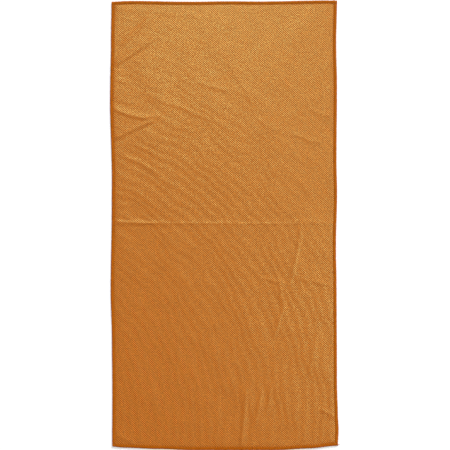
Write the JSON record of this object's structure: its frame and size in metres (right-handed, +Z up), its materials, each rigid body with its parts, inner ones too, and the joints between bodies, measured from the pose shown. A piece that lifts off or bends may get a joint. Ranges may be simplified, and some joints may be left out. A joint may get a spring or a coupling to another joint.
{
  "type": "quick dry towel",
  "caption": "Thin rectangular quick-dry travel towel of mesh-knit microfibre, overlocked on all sides, laid flat, with a fold across its middle.",
  "frame": {"origin": "the middle of the towel, on the surface it lies on", "axes": "+X across the towel to its right side, +Y along it to its top side, +Z up out of its face"},
  "size_m": [0.4089, 0.8021, 0.002],
  "materials": {
    "towel_cloth": "mesh-knit microfibre with a fine diamond texture",
    "edge_thread": "textured polyester overlock thread, slightly darker and more saturated than the cloth"
  },
  "bodies": {
    "lower_half": {"bottom_lower_looper_thread": "edge_thread", "bottom_needle_thread": "edge_thread", "bottom_thread_tail": "edge_thread", "bottom_upper_looper_thread": "edge_thread", "cloth_lower_half": "towel_cloth", "left_lower_looper_thread_lower_half": "edge_thread", "left_needle_thread_lower_half": "edge_thread", "left_upper_looper_thread_lower_half": "edge_thread", "right_lower_looper_thread_lower_half": "edge_thread", "right_needle_thread_lower_half": "edge_thread", "right_upper_looper_thread_lower_half": "edge_thread"},
    "upper_half": {"cloth_upper_half": "towel_cloth", "left_lower_looper_thread_upper_half": "edge_thread", "left_needle_thread_upper_half": "edge_thread", "left_upper_looper_thread_upper_half": "edge_thread", "right_lower_looper_thread_upper_half": "edge_thread", "right_needle_thread_upper_half": "edge_thread", "right_upper_looper_thread_upper_half": "edge_thread", "top_lower_looper_thread": "edge_thread", "top_needle_thread": "edge_thread", "top_thread_tail": "edge_thread", "top_upper_looper_thread": "edge_thread"}
  },
  "joints": [
    {"name": "middle_fold", "type": "hinge", "parent": "lower_half", "child": "upper_half", "pos_m": [0, 0.0034, 0.0023], "axis": [1, 0, 0], "range_deg": [0, 180]}
  ]
}
